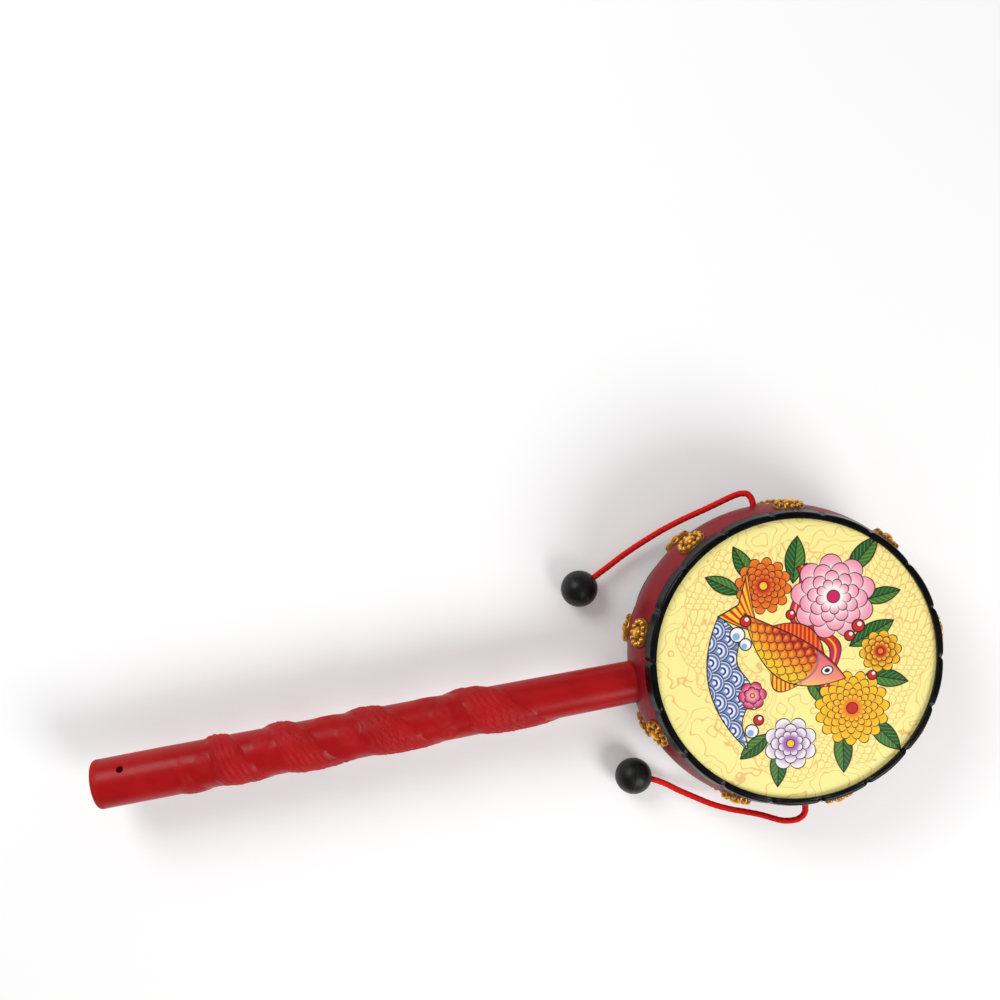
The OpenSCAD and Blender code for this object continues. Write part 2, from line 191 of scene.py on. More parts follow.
class Finishes(bpy.types.PropertyGroup):
    """Colours of the rattle's materials."""

    handle_red: colour("Handle red", "Moulded red of the handle", (0.42, 0.004, 0.006))
    # Paler red on the tops of the handle's relief: partly rubbed wear, partly a painted highlight
    worn_red: colour("Worn red", "Rubbed red on top of the relief", (0.5, 0.04, 0.042))
    shell_red: colour("Shell red", "Dark red of the barrel", (0.24, 0.006, 0.012))
    hoop_black: colour("Hoop black", "Black of the hoops", (0.0022, 0.002, 0.002))
    film: colour("Film", "Pale yellow of the heads", (0.95, 0.85, 0.31))
    film_line: colour("Film line", "Faint line pattern of the heads", (0.84, 0.42, 0.15))
    gold: colour("Gold", "Lacquer of the studs", (0.76, 0.31, 0.012))
    # Painted highlight: the crowns of the studs' petals and dome are painted this light gold
    gold_light: colour("Gold light", "Lacquer on the studs' crowns", (0.95, 0.62, 0.07))
    # Painted shade: the studs' hollows are painted this dark brown
    gold_shade: colour("Gold shade", "Lacquer in the studs' hollows", (0.1, 0.022, 0.002))
    cord_red: colour("Cord red", "Red of the cord", (0.7, 0.006, 0.005))
    bead_black: colour("Bead black", "Black of the beads", (0.006, 0.006, 0.006))
    ink: colour("Ink", "Dark outline of the print", (0.02, 0.015, 0.02))


class PrintDyes(bpy.types.PropertyGroup):
    """Colours printed on the heads."""

    red: colour("Red", "Red of the print", (0.6, 0.02, 0.012))
    orange: colour("Orange", "Orange of the print", (0.86, 0.2, 0.012))
    yellow: colour("Yellow", "Yellow of the print", (0.92, 0.55, 0.02))
    magenta: colour("Magenta", "Magenta of the print", (0.62, 0.012, 0.11))
    pink: colour("Pink", "Pink of the print", (0.88, 0.3, 0.42))
    white: colour("White", "White of the print", (0.9, 0.87, 0.84))
    lilac: colour("Lilac", "Lilac of the print", (0.36, 0.12, 0.46))
    blue: colour("Blue", "Blue of the print", (0.015, 0.035, 0.3))
    sky: colour("Light blue", "Light blue of the print", (0.26, 0.42, 0.72))
    leaf: colour("Leaf", "Dark green of the print", (0.015, 0.1, 0.02))
    leaf_light: colour("Light leaf", "Light green of the print", (0.16, 0.36, 0.05))


class StageLook(bpy.types.PropertyGroup):
    """Camera, light and floor."""

    lens: FloatProperty(name="Lens", description="Focal length", default=43.2, subtype="DISTANCE_CAMERA")
    key_power: power("Key power", "Power of the upper lamp", 2.1)
    side_power: power("Side power", "Power of the lower lamp", 2.7)
    sky: share("Sky", "Strength of the even light from all round", 0.42)
    sky_gloss: share("Sky gloss", "Strength of that light in reflections", 0.14)
    floor: colour("Floor", "Colour of the floor", (0.86, 0.86, 0.86))


class RattleSettings(bpy.types.PropertyGroup):
    """All settings of the rattle."""

    drum: PointerProperty(type=DrumSizes)
    handle: PointerProperty(type=HandleSizes)
    cord: PointerProperty(type=CordSizes)
    finish: PointerProperty(type=Finishes)
    dyes: PointerProperty(type=PrintDyes)
    stage: PointerProperty(type=StageLook)


class Millimetres:
    """Reads a group of sizes in millimetres."""

    def __init__(self, group):
        self.group = group

    def __getattr__(self, name):
        value = getattr(self.group, name)
        is_length = self.group.bl_rna.properties[name].unit == "LENGTH"
        return value / MM if is_length else value


# Shader expressions
class Value:
    """A shader socket that takes part in Python expressions: each operator adds its Math node."""

    def __init__(self, shader, socket):
        self.shader, self.socket = shader, socket

    def maths(self, operation, *others):
        return self.shader.node("ShaderNodeMath", {"operation": operation}, dict(enumerate((self, *others))))

    def swapped(self, operation, other):
        return self.shader.node("ShaderNodeMath", {"operation": operation}, {0: other, 1: self})

    def __add__(self, other):
        return self.maths("ADD", other)

    __radd__ = __add__

    def __mul__(self, other):
        return self.maths("MULTIPLY", other)

    __rmul__ = __mul__

    def __sub__(self, other):
        return self.maths("SUBTRACT", other)

    def __rsub__(self, other):
        return self.swapped("SUBTRACT", other)

    def __truediv__(self, other):
        return self.maths("DIVIDE", other)

    def __rtruediv__(self, other):
        return self.swapped("DIVIDE", other)

    def __pow__(self, other):
        return self.maths("POWER", other)

    def __neg__(self):
        return self.maths("MULTIPLY", -1)

    def __abs__(self):
        return self.maths("ABSOLUTE")

    def most(self, other):
        return self.maths("MAXIMUM", other)

    def root(self):
        return self.maths("SQRT")

    def sine(self):
        return self.maths("SINE")

    def floor(self):
        return self.maths("FLOOR")

    def part(self):
        return self.maths("FRACT")

    def over_angle(self, other):
        return self.maths("ARCTAN2", other)


class Shader:
    """A material and its nodes."""

    def __init__(self, name):
        self.material = bpy.data.materials.new(name)
        self.material.use_nodes = True
        self.tree = self.material.node_tree
        self.surface = self.tree.nodes["Principled BSDF"]

    def node(self, kind, settings=None, inputs=None, output=0):
        """Adds a node, sets it up, then fills or links its sockets."""
        made = self.tree.nodes.new(kind)
        for key, value in (settings or {}).items():
            setattr(made, key, value)
        for key, value in (inputs or {}).items():
            self.feed(made.inputs[key], value)
        return Value(self, made.outputs[output])

    def feed(self, socket, value):
        if isinstance(value, Value):
            self.tree.links.new(value.socket, socket)
        else:
            socket.default_value = value

    def set(self, **sockets):
        """Fills the surface's sockets, with spaces written as underscores."""
        for name, value in sockets.items():
            self.feed(self.surface.inputs[name.replace("_", " ")], value)
        return self.material

    def place(self, scale=(1, 1, 1), turn=0.0):
        """Object coordinates in millimetres about the drum's axis, then scaled and turned."""
        where = self.node("ShaderNodeTexCoord", output="Object")
        centred = self.node("ShaderNodeVectorMath", {"operation": "SUBTRACT"}, {0: where, 1: (DRUM_X, 0, 0)})
        sockets = {"Vector": centred, "Rotation": (0, 0, turn), "Scale": tuple(s / MM for s in scale)}
        return self.node("ShaderNodeMapping", None, sockets)

    def parts(self, vector):
        """The x, y and z of a vector."""
        split = self.tree.nodes.new("ShaderNodeSeparateXYZ")
        self.feed(split.inputs[0], vector)
        return [Value(self, output) for output in split.outputs]

    def noise(self, vector, scale, detail, roughness=0.5):
        return self.node(
            "ShaderNodeTexNoise", None,
            {"Vector": vector, "Scale": scale, "Detail": detail, "Roughness": roughness}, "Fac")

    def fade(self, value, low, high, start=0.0, end=1.0):
        """A smooth step from start at low to end at high."""
        return self.node(
            "ShaderNodeMapRange", {"interpolation_type": "SMOOTHSTEP"},
            {"Value": value, "From Min": low, "From Max": high, "To Min": start, "To Max": end})

    def mix(self, factor, first, second):
        return self.node("ShaderNodeMix", {"data_type": "RGBA"}, {0: factor, 6: first, 7: second}, 2)

    def attribute(self, name):
        return self.node("ShaderNodeAttribute", {"attribute_name": name}, None, "Fac")

    def bump(self, height, distance, strength):
        sockets = {"Strength": strength, "Distance": distance * MM, "Height": height}
        return self.node("ShaderNodeBump", None, sockets, "Normal")


class Print:
    """Paints flat shapes over one another on a head, in millimetres to the right and upwards."""

    # Foam on the waves: place from their middle, and radius
    FOAM = ((-11, 5.4, 1.9), (-8.2, 7, 1.5), (4.2, 7.4, 1.8), (7.2, 6.4, 1.4), (14, 4.8, 1.7))

    def __init__(self, film, middle, tone, ink):
        x, y, z = film.parts(film.place())
        self.film, self.tone, self.ink = film, tone, ink
        self.right, self.up = y * film.fade(z, middle - 1, middle + 1, 1.0, -1.0), x

    def inside(self, gap, soft=0.1):
        """One where a distance lies below zero, with a soft edge."""
        return self.film.fade(gap, -soft, soft, 1.0, 0.0)

    def paint(self, mask, dye):
        self.tone = self.film.mix(mask, self.tone, dye)

    def shape(self, gap, dye, line=0.17):
        """A filled shape with a dark outline."""
        self.paint(self.inside(gap), dye)
        self.paint(self.inside(abs(gap) - line), self.ink)

    def turned(self, right, up, degrees):
        """Coordinates about a point, the first along a direction."""
        c, s = math.cos(math.radians(degrees)), math.sin(math.radians(degrees))
        across, along = self.right - right, self.up - up
        return across * c + along * s, along * c - across * s

    def distance(self, right, up):
        across, along = self.right - right, self.up - up
        return (across * across + along * along).root()

    def spot(self, right, up, radius):
        return self.inside(self.distance(right, up) - radius)

    def disc(self, right, up, radius, dye):
        self.shape(self.distance(right, up) - radius, dye)

    def net(self, u, v, wide, high):
        """A net of scales: the distance from the middle of a scale's foot, one at its free edge."""
        row = (v / high).floor()
        y = v / high - row
        x = ((u / wide + row * 0.5).part() - 0.5) * 2
        return (x * x + y * y).root()

    def leaf(self, right, up, degrees, long, wide, dye, light):
        u, v = self.turned(right, up, degrees)
        gap = abs(v) - (1 - u * u * (1 / long**2)) * wide
        veins = self.inside(abs(((u - abs(v) * 1.2) * 0.7).part() - 0.5) - 0.1, 0.06)
        self.shape(gap, self.film.mix(veins * 0.6 + self.inside(v) * 0.3, dye, light))
        self.paint(self.inside(abs(v) - 0.14) * self.inside(gap), self.ink)

    def bloom(self, right, up, size, petals, rings, edge, heart, middle, turn):
        """A flower of several rings of petals, the smaller ones on top."""
        u, v = self.turned(right, up, 0)
        far = (u * u + v * v).root()
        around = v.over_angle(u) * (petals / 2)
        for k in range(rings):
            reach = size * (1 - 0.78 * k / rings)
            wave = abs((around + (turn + (k % 2) * math.pi / 2)).sine())
            gap = far - (wave**0.55) * (0.26 * reach) - 0.74 * reach
            petal = self.film.mix(self.film.fade(far, 0.45 * reach, 0.98 * reach), heart, edge)
            self.shape(gap, petal, 0.14)
            seam = self.inside(wave - 0.13, 0.07) * self.film.fade(far, 0.45 * reach, 0.75 * reach)
            self.paint(seam * self.inside(gap) * 0.85, self.ink)
        self.shape(far - 0.15 * size, middle, 0.12)

    def ribbon(self, right, up, dye):
        """A waving ribbon with a light middle line."""
        u, v = self.turned(right, up, 12)
        sway = v - (u * 0.3).sine() * 3.2
        gap = (abs(sway) - 1.5).most(abs(u + 1) - 16)
        folds = self.film.fade((u * 0.3 + 1.2).sine(), -0.6, 0.8)
        self.shape(gap, self.film.mix(folds, dye.magenta, dye.red))
        self.paint(self.inside(abs(sway) - 0.25) * self.inside(gap) * 0.8, dye.yellow)

    def waves(self, right, up, dye):
        """A crescent of round waves with foam on its upper edge."""
        u, v = self.turned(right, up, 0)
        crest = (u * 0.42).sine() * 1.3 - u * u * 0.012 + 5.6
        gap = (v - crest).most((u * u + (v + 3) * (v + 3)).root() - 19).most(-v - 4 + u * u * 0.02)
        rings = self.net(u, v, 5.2, 2.6)
        bands = self.film.fade((rings * 15).sine(), -0.3, 0.3)
        tone = self.film.mix(bands, dye.blue, dye.white)
        tone = self.film.mix(self.film.fade(rings, 0.2, 1.1, 0.0, 0.55), tone, dye.sky)
        self.shape(gap, tone)
        self.paint(self.inside(abs(rings - 1) - 0.06, 0.05) * self.inside(gap), self.ink)
        for across, rise, radius in self.FOAM:
            self.disc(right + across, up + rise, radius, dye.white)
            self.paint(self.spot(right + across + 0.4, up + rise - 0.4, radius * 0.5), dye.sky)

    def carp(self, right, up, degrees, dye):
        """A bent fish with scales, fins and a fan tail."""
        u, v = self.turned(right, up, degrees)
        v = v - u * u * 0.014
        s = u * (1 / 15.5)
        wide = (1 - s * s) * (s * 0.22 + 1) * 5.6
        behind = -u - 11.5
        spread = behind * 0.62 + 1.1
        tail = (abs(v) - spread).most(behind - 6.4 - abs(v) * 0.4).most(-behind)
        rays = self.film.fade(abs((v / spread * 3).part() - 0.5), 0.12, 0.3)
        self.shape(tail, self.film.mix(rays, dye.red, dye.yellow))
        fin = (v - wide - (1 - s * s * 4.2) * 3.6).most(-v)
        rays = self.film.fade(abs((u * 0.8 + v * 0.5).part() - 0.5), 0.12, 0.3)
        self.shape(fin, self.film.mix(rays, dye.orange, dye.red))
        low = (-v - wide - (1 - (s - 0.15) * (s - 0.15) * 16) * 3.2).most(v)
        self.shape(low, self.film.mix(rays, dye.red, dye.yellow))
        body = abs(v) - wide
        tone = self.film.mix(self.film.fade(v, -4.0, 0.5), dye.yellow, dye.orange)
        tone = self.film.mix(self.film.fade(v, 0.0, 4.2), tone, dye.red)
        self.shape(body, tone)
        net = self.net(v, u, 2.5, 1.7)
        skin = self.inside(body + 0.3) * self.film.fade(s, 0.42, 0.46, 1.0, 0.0)
        self.paint(self.film.fade(net, 0.1, 0.8, 0.55, 0.0) * skin, dye.yellow)
        self.paint(self.inside(abs(net - 1) - 0.11, 0.07) * skin * 0.8, self.ink)
        cheek = s + v * v * 0.006 - 0.5
        self.paint(self.inside(abs(cheek) - 0.016, 0.012) * self.inside(body), self.ink)
        self.paint(self.inside(-cheek - 0.02, 0.02) * self.inside(body + 0.5) * 0.45, dye.pink)
        eye = ((u - 10.4) * (u - 10.4) + (v - 1.0) * (v - 1.0)).root()
        self.shape(eye - 1.25, dye.white, 0.15)
        self.paint(self.inside(eye - 0.62), self.ink)


def shade(rgba, factor):
    """A darker or lighter copy of a colour."""
    return (*(min(1.0, c * factor) for c in rgba[:3]), 1.0)


# Mesh helpers
def finish_piece(bm, name, material, body, node):
    """Puts a bmesh made in millimetres into the frame, in place of a node and riding on a body, if any."""
    bmesh.ops.transform(bm, matrix=PLACE, verts=bm.verts[:])
    mesh = bpy.data.meshes.new(name)
    bm.to_mesh(mesh)
    bm.free()
    mesh.polygons.foreach_set("use_smooth", [True] * len(mesh.polygons))
    mesh.materials.append(material)
    piece = bpy.data.objects.new(name, mesh)
    bpy.context.scene.collection.objects.link(piece)
    if body:
        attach(piece, body)
    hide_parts(node)
    return piece


def spun(profile, steps, closed=False):
    """A bmesh of a profile of (radius, height) points, spun about Z."""
    bm = bmesh.new()
    verts = [bm.verts.new((r, 0, z)) for r, z in profile]
    pairs = list(zip(verts, verts[1:])) + ([(verts[-1], verts[0])] if closed else [])
    edges = [bm.edges.new(pair) for pair in pairs]
    bmesh.ops.spin(
        bm, geom=verts + edges, cent=(0, 0, 0), axis=(0, 0, 1), dvec=(0, 0, 0),
        angle=2 * math.pi, steps=steps, use_merge=True)
    bmesh.ops.remove_doubles(bm, verts=bm.verts[:], dist=1e-5)
    bmesh.ops.recalc_face_normals(bm, faces=bm.faces[:])
    return bm


def coords(bm):
    """The corners of a bmesh as an array."""
    return np.array([v.co for v in bm.verts])


def move_to(bm, points):
    """Puts the corners of a bmesh at new places."""
    for v, p in zip(bm.verts, points):
        v.co = p


def mark(bm, name, values):
    """Keeps one number per corner as an attribute."""
    layer = bm.verts.layers.float.new(name)
    for v, value in zip(bm.verts, values):
        v[layer] = value


def arc(cx, cy, radius, start, end, count):
    """Points of a rounded corner, from one angle in degrees to another."""
    angles = np.radians(np.linspace(start, end, count))
    return [(cx + radius * math.cos(a), cy + radius * math.sin(a)) for a in angles]


def smooth_step(x):
    x = np.clip(x, 0, 1)
    return x * x * (3 - 2 * x)


# Cords
def even_route(points, step):
    """A smooth line through points, with steps of one length."""
    pts = np.array(points, float)
    ends = np.vstack([2 * pts[0] - pts[1], pts, 2 * pts[-1] - pts[-2]])
    line = []
    for a, b, c, d in zip(ends, ends[1:], ends[2:], ends[3:]):
        for t in np.linspace(0, 1, 24, endpoint=False):
            line.append(0.5 * (
                2 * b + (c - a) * t + (2 * a - 5 * b + 4 * c - d) * t**2 + (3 * b - a - 3 * c + d) * t**3))
    line = np.array(line + [pts[-1]])
    run = np.concatenate([[0], np.cumsum(np.linalg.norm(np.diff(line, axis=0), axis=1))])
    even = np.linspace(0, run[-1], max(2, round(run[-1] / step)))
    return np.stack([np.interp(even, run, line[:, k]) for k in range(3)], axis=1)


def cord_frames(line, lay):
    """A frame at each point of a line: its axis runs along the line and turns with the cord's twist."""
    frames, side, turned = [], Vector((0, 0, 1)), 0.0
    for i, p in enumerate(line):
        along = Vector(line[min(i + 1, len(line) - 1)] - line[max(i - 1, 0)]).normalized()
        side = (side - along * side.dot(along)).normalized()
        turned += 2 * math.pi * (np.linalg.norm(p - line[i - 1]) if i else 0) / lay
        up = along.cross(side)
        turn = Matrix((side, up, along)).transposed().to_4x4()
        frames.append(Matrix.Translation(p) @ turn @ Matrix.Rotation(turned, 4, "Z"))
    return frames


def twisted(frames, radii, plies):
    """A closed cord of twisted yarns over a list of frames and radii."""
    bm = bmesh.new()
    # The groove attribute is nought in the grooves between the yarns and one on their crowns; the material
    # paints the grooves darker as painted shade
    layer = bm.verts.layers.float.new("groove")
    ring = bmesh.ops.create_circle(bm, cap_ends=False, segments=8 * plies, radius=1)["verts"]
    for v in ring:
        around = abs(math.cos(plies / 2 * math.atan2(v.co.y, v.co.x)))
        v[layer] = around
        v.co *= 0.9 + 0.1 * math.sqrt(around)
    placed = [f @ Matrix.Scale(r, 4) for f, r in zip(frames, radii)]
    bmesh.ops.transform(bm, matrix=placed[0], verts=ring)
    loop = bm.edges[:]
    bmesh.ops.edgeloop_fill(bm, edges=loop)
    for before, after in zip(placed, placed[1:]):
        made = bmesh.ops.extrude_edge_only(bm, edges=loop)["geom"]
        ring = {g for g in made if isinstance(g, bmesh.types.BMVert)}
        loop = [g for g in made if isinstance(g, bmesh.types.BMEdge) and set(g.verts) <= ring]
        bmesh.ops.transform(bm, matrix=after @ before.inverted(), verts=list(ring))
    bmesh.ops.edgeloop_fill(bm, edges=loop)
    bmesh.ops.recalc_face_normals(bm, faces=bm.faces[:])
    return bm


def knot_swell(distance, radius, knot):
    """The cord's radius at a distance from the middle of a knot."""
    ball = np.sqrt(np.clip(knot**2 - distance**2, 0, None))
    return np.maximum(radius, ball)


class RATTLE_OT_stage(bpy.types.Operator):
    """Makes the camera, the floor and the lights"""

    bl_idname = "rattle.stage"
    bl_label = "Stage"

    CAMERA_AT = (-18.876, 53.044, 331.481)
    CAMERA_RIGHT = (0.98186, -0.18917, 0.01255)
    CAMERA_UP = (0.18958, 0.97954, -0.06747)
    CAMERA_SHIFT = (0.0801, 0.1028)
    CAMERA_CLIP = (0.01, 20)
    SENSOR = 36
    # Name, setting of the power, place in metres and width
    LAMPS = (
        ("upper_lamp", "key_power", (-0.29, 0.42, 0.46), 0.36),
        ("lower_lamp", "side_power", (0.29, -0.42, 0.46), 0.36),
    )
    FLOOR_REACH = 6
    GLOW_AT = (0.3, 1.1)  # metres from the middle between which the floor's glow grows
    GLOW = (0.12, 0.64)  # strength of the glow at those two distances

    def execute(self, context):
        look = context.scene.rattle.stage
        right, up = Vector(self.CAMERA_RIGHT).normalized(), Vector(self.CAMERA_UP)
        back = right.cross(up).normalized()
        up = back.cross(right)
        camera = bpy.data.objects.new("camera", bpy.data.cameras.new("camera"))
        camera.data.lens, camera.data.sensor_width = look.lens, self.SENSOR
        camera.data.shift_x, camera.data.shift_y = self.CAMERA_SHIFT
        camera.data.clip_start, camera.data.clip_end = self.CAMERA_CLIP
        camera.matrix_world = (
            Matrix.Translation(Vector(self.CAMERA_AT) * MM)
            @ Matrix((right, up, back)).transposed().to_4x4())
        context.scene.collection.objects.link(camera)
        context.scene.camera = camera
        for name, setting, at, width in self.LAMPS:
            lamp = bpy.data.lights.new(name, "AREA")
            lamp.energy, lamp.shape, lamp.size = getattr(look, setting), "DISK", width
            holder = bpy.data.objects.new(name, lamp)
            holder.location = at
            holder.rotation_mode = "QUATERNION"
            holder.rotation_quaternion = (-Vector(at)).to_track_quat("-Z", "Y")
            context.scene.collection.objects.link(holder)
        self.floor(context, look)
        self.sky(context, look)
        context.scene.view_settings.view_transform = "Standard"
        return {"FINISHED"}

    def floor(self, context, look):
        bm = bmesh.new()
        bmesh.ops.create_grid(bm, x_segments=4, y_segments=4, size=self.FLOOR_REACH)
        mesh = bpy.data.meshes.new("floor")
        bm.to_mesh(mesh)
        bm.free()
        paper = Shader("floor_paper")
        paper.tree.nodes.remove(paper.surface)
        lit = paper.node("ShaderNodeBsdfDiffuse", None, {"Color": look.floor})
        path = paper.tree.nodes.new("ShaderNodeLightPath")
        seen = Value(paper, path.outputs["Is Camera Ray"]) + Value(paper, path.outputs["Is Glossy Ray"])
        seen = seen + Value(paper, path.outputs["Is Transmission Ray"])
        x, y, _ = paper.parts(paper.node("ShaderNodeTexCoord", output="Object"))
        glow = paper.fade((x * x + y * y).root(), *self.GLOW_AT, *self.GLOW)
        glow = paper.node("ShaderNodeEmission", None, {"Color": (1, 1, 1, 1), "Strength": seen * glow})
        both = paper.node("ShaderNodeAddShader", None, {0: lit, 1: glow})
        paper.feed(paper.tree.nodes["Material Output"].inputs["Surface"], both)
        mesh.materials.append(paper.material)
        floor = bpy.data.objects.new("floor", mesh)
        context.scene.collection.objects.link(floor)

    def sky(self, context, look):
        world = bpy.data.worlds.new("studio")
        world.use_nodes = True
        tree = world.node_tree
        path = tree.nodes.new("ShaderNodeLightPath")
        strength = None
        levels = {"Is Glossy Ray": look.sky_gloss, "Is Transmission Ray": 1, "Is Camera Ray": 1}
        for ray, level in levels.items():
            step = tree.nodes.new("ShaderNodeMapRange")
            tree.links.new(path.outputs[ray], step.inputs["Value"])
            step.inputs["To Min"].default_value = look.sky
            step.inputs["To Max"].default_value = level
            if strength:
                tree.links.new(strength, step.inputs["To Min"])
            strength = step.outputs[0]
        tree.links.new(strength, tree.nodes["Background"].inputs["Strength"])
        tree.nodes["Background"].inputs["Color"].default_value = (1, 1, 1, 1)
        context.scene.world = world


class RATTLE_OT_cords(bpy.types.Operator):
    """Makes the cord that runs through the drum and out to both beads"""

    bl_idname = "rattle.cords"
    bl_label = "Cords and beads"

    STEP = 0.32  # distance between rings along a cord
    HELD_INSIDE = 2.05  # how far inside the shell's outside the held stretch ends
    STEM = (-4, -2, 0, 1.1)  # straight stretch through the shell's wall, from the mouth of the hole
    JOIN_AFTER = 3.6  # where the cord is split, past its first hinge
    FIRST_BEND = 2.6  # distance past the first hinge at which a point of the cord is looked up, though nothing uses it
    SECOND_BEND = 4  # half the distance between two points of the cord looked up about the second hinge, though nothing uses them
    BORE_LIP = 0.22  # how much wider the bore's mouth is than the bore
    KNOT_ROOM = 0.15  # gap round the knot in its pocket
    SEAM_WIDTH = 0.16
    NUB_WIDTH = 0.62
    NUB_HEIGHT = 0.34
    NUB_TURNS = {"left": 150, "right": 78}  # angle of the gate nub about the bore, in degrees

    def execute(self, context):
        settings = context.scene.rattle
        size = Millimetres(settings.cord)
        drum = Millimetres(settings.drum)
        red = self.cord_material(settings.finish)
        black = self.bead_material(settings.finish)
        self.inner(size, drum, red)
        for side, sign in SIDES.items():
            bead = self.bead(side, sign, size, drum, black)
            self.free(side, sign, size, drum, red, bead)
        return {"FINISHED"}

    def cord_material(self, finish):
        cord = Shader("cord_red")
        where = cord.place()
        groove = cord.attribute("groove")
        fibres = cord.noise(where, 3.4, 3.0)
        # Painted shade: the grooves between the yarns are darker
        tone = cord.mix(cord.fade(groove, 0.0, 0.5), shade(finish.cord_red, 0.72), finish.cord_red)
        tone = cord.mix(cord.fade(fibres, 0.5, 0.8, 0.0, 0.3), tone, shade(finish.cord_red, 1.2))
        return cord.set(
            Base_Color=tone, Roughness=cord.fade(fibres, 0.3, 0.7, 0.55, 0.75), Specular_IOR_Level=0.2,
            Normal=cord.bump(fibres, 0.12, 0.6))

    def bead_material(self, finish):
        bead = Shader("bead_black")
        where = bead.place()
        mottle = bead.noise(where, 0.35, 3.0)
        grain = bead.noise(where, 2.6, 2.0)
        tone = bead.mix(bead.fade(mottle, 0.35, 0.7), finish.bead_black, shade(finish.bead_black, 2.1))
        # Painted highlight: the mould seam's ridge is painted lighter than the bead
        tone = bead.mix(bead.attribute("seam") * 0.6, tone, shade(finish.bead_black, 3))
        return bead.set(
            Base_Color=tone, Roughness=bead.fade(mottle, 0.3, 0.7, 0.34, 0.48), Specular_IOR_Level=0.28,
            Normal=bead.bump(grain, 0.05, 0.5))

    def inner(self, size, drum, red):
        reach = drum.shell_radius - self.HELD_INSIDE
        line = even_route([(0, y, drum.depth / 2) for y in np.linspace(-reach, reach, 9)], self.STEP)
        radii = np.full(len(line), size.diameter / 2)
        for sign in SIDES.values():
            away = line[:, 1] - sign * size.stop_knot_at
            radii = np.maximum(radii, knot_swell(away, size.diameter / 2, size.stop_knot))
        bm = twisted(cord_frames(line, size.lay), radii, size.plies)
        finish_piece(bm, "drum_cord", red, "drum", "inner_cord")

    def bead_frame(self, side, sign, size, drum):
        turn = math.radians(BEAD_TURNS[side])
        x, y = BEADS_AT[side]
        centre = Vector((x, sign * drum.shell_radius + y, size.bead_radius))
        return centre, Vector((math.cos(turn), math.sin(turn), 0)), turn

    def bead(self, side, sign, size, drum, black):
        """A ball closed round the knot, with a bore for the cord, a mould seam and a gate nub on the seam."""
        lip = math.degrees(math.asin((size.bore_radius + self.BORE_LIP) / size.bead_radius))
        bends = np.concatenate([
            np.linspace(0, 82, 30), np.linspace(83, 97, 15), np.linspace(98, 180 - lip, 28)])
        outside = [
            (size.bead_radius * math.sin(a), size.bead_radius * math.cos(a)) for a in np.radians(bends)]
        bore = [(size.bore_radius, -z) for z in (size.bead_radius - 0.4, 3.2, 1.6)]
        pocket = arc(0, 0, size.end_knot + self.KNOT_ROOM, -40, 90, 8)
        bm = spun(outside + bore + pocket, 72)
        points = coords(bm)
        reach = np.linalg.norm(points, axis=1)
        outer = reach > size.bead_radius - 0.02
        seam = np.exp(-((points[:, 2] / self.SEAM_WIDTH) ** 2)) * outer
        around = np.arctan2(points[:, 1], points[:, 0]) - math.radians(self.NUB_TURNS[side])
        around = np.arctan2(np.sin(around), np.cos(around)) * size.bead_radius
        nub = np.exp(-((around / self.NUB_WIDTH) ** 2) - (points[:, 2] / self.NUB_WIDTH) ** 2) * outer
        swell = 1 + (seam * size.seam_height + nub * self.NUB_HEIGHT) / np.maximum(reach, 0.1)
        move_to(bm, points * swell[:, None])
        # Kept for the material, which paints a highlight along the seam's ridge
        mark(bm, "seam", np.clip(seam, 0, 1))
        centre, _, turn = self.bead_frame(side, sign, size, drum)
        aimed = Matrix.Translation(centre) @ Matrix.Rotation(turn, 4, "Z")
        bmesh.ops.transform(bm, matrix=aimed @ Matrix.Rotation(math.pi / 2, 4, "Y"), verts=bm.verts[:])
        return finish_piece(
            bm, f"{side}_bead_ball", black, f"{side}_pellet", f"{side}_bead")

    def free(self, side, sign, size, drum, red, bead):
        """The cord from inside the shell to the knot inside a bead, split between its two hinges."""
        mouth = np.array((0, sign * drum.shell_radius, drum.depth / 2))
        centre, heading, _ = self.bead_frame(side, sign, size, drum)
        radius, knot = size.diameter / 2, size.end_knot
        tail = [centre + heading * d for d in (-BEAD_LEAD_IN, -3, 0, 0.97 * knot)]
        stem = [(0, d * sign, 0) for d in self.STEM]
        line = even_route(
            [mouth + p for p in np.array(stem + ROUTES[side])] + [np.array(p) for p in tail], self.STEP)
        radii = np.full(len(line), radius)
        past_knot = (line - np.array(centre)) @ np.array(heading)
        near_end = np.linalg.norm(line - np.array(centre), axis=1) < 1.5 * knot
        radii[near_end] = knot_swell(past_knot[near_end], radius, knot)
        ball = np.sqrt(np.clip(knot**2 - past_knot**2, 0.02, None))
        radii = np.where(near_end & (past_knot > 0), ball, radii)
        frames = cord_frames(line, size.lay)
        hinge = mouth + np.array(ROUTES[side][0])
        second = mouth + np.array(ROUTES[side][LINK_POINT])
        run = np.concatenate([[0], np.cumsum(np.linalg.norm(np.diff(line, axis=0), axis=1))])
        first_at = run[np.linalg.norm(line - hinge, axis=1).argmin()]
        second_at = run[np.linalg.norm(line - second, axis=1).argmin()]
        cut = int(np.searchsorted(run, first_at + self.JOIN_AFTER))
        lead = finish_piece(
            twisted(frames[:cut + 1], radii[:cut + 1], size.plies),
            f"{side}_cord_lead", red, None, f"{side}_cord_root")
        main = finish_piece(
            twisted(frames[cut:], radii[cut:], size.plies),
            f"{side}_cord_free", red, None, f"{side}_cord")

        def at(distance):
            return PLACE @ Vector(line[int(np.searchsorted(run, distance))])

        at(first_at + self.FIRST_BEND)
        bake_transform(lead)
        at(second_at - self.SECOND_BEND)
        at(second_at + self.SECOND_BEND)
        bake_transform(main)
        size.diameter * MM


